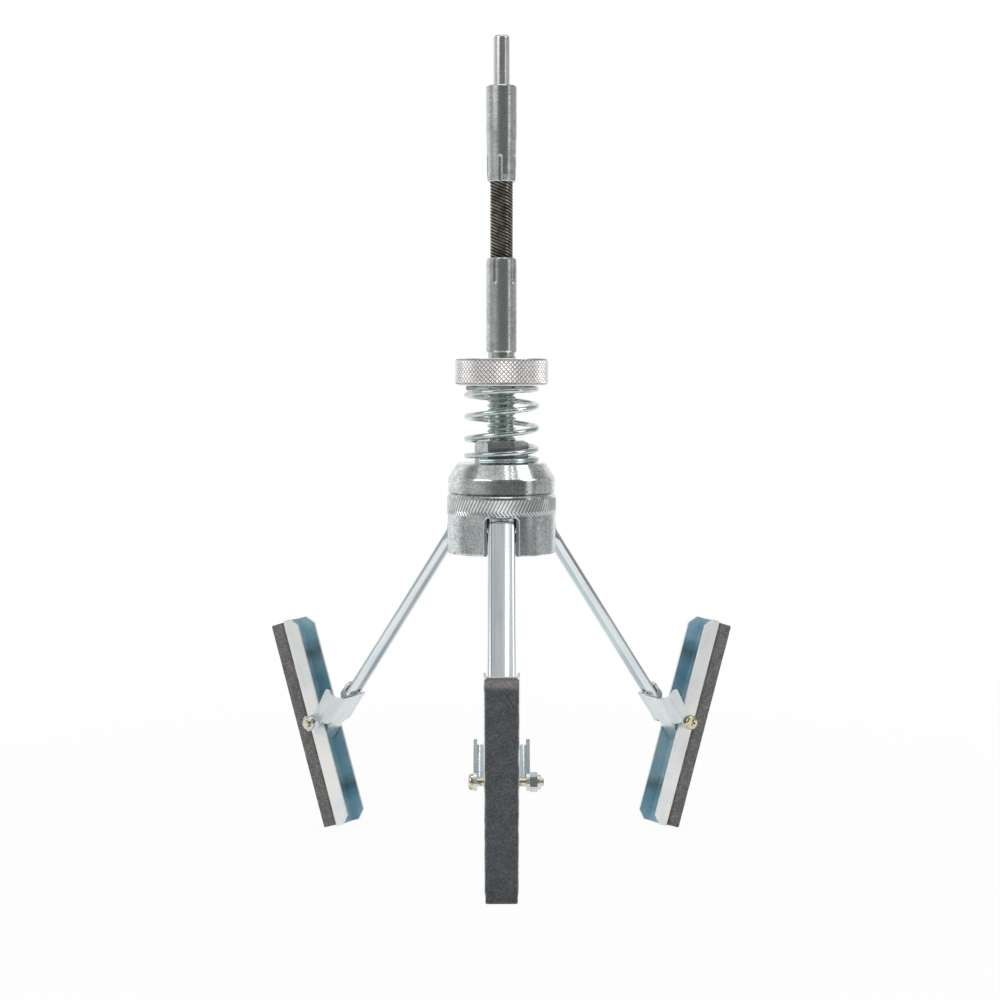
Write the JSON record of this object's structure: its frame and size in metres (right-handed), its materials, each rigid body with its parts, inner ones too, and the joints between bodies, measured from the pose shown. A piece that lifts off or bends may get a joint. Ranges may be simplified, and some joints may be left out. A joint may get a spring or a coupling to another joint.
{
  "type": "cylinder hone",
  "caption": "Spring-loaded cylinder hone: flexible drive shaft, knurled tension nut, sliding cap and swinging arms that carry self-aligning abrasive stones.",
  "frame": {"origin": "on the drive axis, at the shoulder where the bare shank leaves the upper ferrule", "axes": "+Z along the drive axis towards the drill; one arm points along -Y, the others stand 120 degrees to either side; X to the viewer's right when looking along +Y"},
  "size_m": [0.2222, 0.1927, 0.368],
  "materials": {
    "bright_steel": "polished",
    "zinc_plate": "dull zinc plate",
    "blue_zinc": "bright blue-white zinc plate",
    "yellow_zinc": "yellow zinc plate",
    "oiled_wire": "blackened, oiled",
    "abrasive": "fine grit"
  },
  "bodies": {
    "head": {"housing": "zinc_plate", "spindle": "blue_zinc", "lower_ferrule": "zinc_plate", "flexible_shaft": "oiled_wire", "arm_pin_front": "bright_steel", "arm_pin_right": "bright_steel", "arm_pin_left": "bright_steel"},
    "drive": {"upper_ferrule": "zinc_plate", "shank": "bright_steel"},
    "spring_seat": {"tension_spring": "blue_zinc"},
    "nut": {"tension_nut": "zinc_plate"},
    "cap": {"pressure_cap": "zinc_plate", "guide_bush": "zinc_plate"},
    "front_arm": {"arm_front": "blue_zinc", "bracket_front": "blue_zinc"},
    "front_pivot": {"pivot_screw_front": "yellow_zinc", "pivot_nut_front": "bright_steel"},
    "front_holder": {"stone_carrier_front": "blue_zinc", "stone_front": "abrasive"},
    "right_arm": {"arm_right": "blue_zinc", "bracket_right": "blue_zinc"},
    "right_pivot": {"pivot_screw_right": "yellow_zinc", "pivot_nut_right": "bright_steel"},
    "right_holder": {"stone_carrier_right": "blue_zinc", "stone_right": "abrasive"},
    "left_arm": {"arm_left": "blue_zinc", "bracket_left": "blue_zinc"},
    "left_pivot": {"pivot_screw_left": "yellow_zinc", "pivot_nut_left": "bright_steel"},
    "left_holder": {"stone_carrier_left": "blue_zinc", "stone_left": "abrasive"}
  },
  "joints": [
    {"name": "shaft_bend", "type": "hinge", "parent": "head", "child": "drive", "pos_m": [0, 0, -0.0594], "axis": [1, 0, 0], "range_deg": [-30, 30], "stiffness_Nm_per_rad": 3.5, "deforming": ["flexible_shaft"]},
    {"name": "nut_travel", "type": "slide", "parent": "head", "child": "spring_seat", "axis": [0, 0, 1], "range_m": [-0.008, 0], "deforming": ["tension_spring"]},
    {"name": "nut_spin", "type": "hinge", "parent": "spring_seat", "child": "nut", "pos_m": [0, 0, -0.1273], "axis": [0, 0, 1], "range_deg": [-1252.2, 0]},
    {"name": "cap_slide", "type": "slide", "parent": "head", "child": "cap", "axis": [0, 0, 1], "range_m": [0, 0.00664], "stiffness_N_per_m": 3600, "springref_m": -0.01, "deforming": ["tension_spring"]},
    {"name": "front_arm_swing", "type": "hinge", "parent": "head", "child": "front_arm", "pos_m": [0, -0.0195, -0.1973], "axis": [1, 0, 0], "range_deg": [0, 42.05]},
    {"name": "front_stone_level", "type": "hinge", "parent": "front_arm", "child": "front_pivot", "pos_m": [0, -0.097, -0.294], "axis": [1, 0, 0], "range_deg": [-53.65, 0]},
    {"name": "front_stone_tilt", "type": "hinge", "parent": "front_pivot", "child": "front_holder", "pos_m": [0, -0.097, -0.294], "axis": [1, 0, 0], "range_deg": [-6, 0]},
    {"name": "right_arm_swing", "type": "hinge", "parent": "head", "child": "right_arm", "pos_m": [0.01689, 0.00975, -0.1973], "axis": [-0.5, 0.866, 0], "range_deg": [0, 42.05]},
    {"name": "right_stone_level", "type": "hinge", "parent": "right_arm", "child": "right_pivot", "pos_m": [0.084, 0.0485, -0.294], "axis": [-0.5, 0.866, 0], "range_deg": [-53.65, 0]},
    {"name": "right_stone_tilt", "type": "hinge", "parent": "right_pivot", "child": "right_holder", "pos_m": [0.084, 0.0485, -0.294], "axis": [-0.5, 0.866, 0], "range_deg": [-6, 0]},
    {"name": "left_arm_swing", "type": "hinge", "parent": "head", "child": "left_arm", "pos_m": [-0.01689, 0.00975, -0.1973], "axis": [-0.5, -0.866, 0], "range_deg": [0, 42.05]},
    {"name": "left_stone_level", "type": "hinge", "parent": "left_arm", "child": "left_pivot", "pos_m": [-0.084, 0.0485, -0.294], "axis": [-0.5, -0.866, 0], "range_deg": [-53.65, 0]},
    {"name": "left_stone_tilt", "type": "hinge", "parent": "left_pivot", "child": "left_holder", "pos_m": [-0.084, 0.0485, -0.294], "axis": [-0.5, -0.866, 0], "range_deg": [-6, 0]}
  ],
  "couplings": [
    {"joint": "nut_spin", "follows": "nut_travel", "rad_per_m": 2731.8},
    {"joint": "front_arm_swing", "follows": "cap_slide", "rad_per_m": 110.4},
    {"joint": "front_stone_level", "follows": "cap_slide", "rad_per_m": -140.89},
    {"joint": "right_arm_swing", "follows": "cap_slide", "rad_per_m": 110.4},
    {"joint": "right_stone_level", "follows": "cap_slide", "rad_per_m": -140.89},
    {"joint": "left_arm_swing", "follows": "cap_slide", "rad_per_m": 110.4},
    {"joint": "left_stone_level", "follows": "cap_slide", "rad_per_m": -140.89}
  ]
}
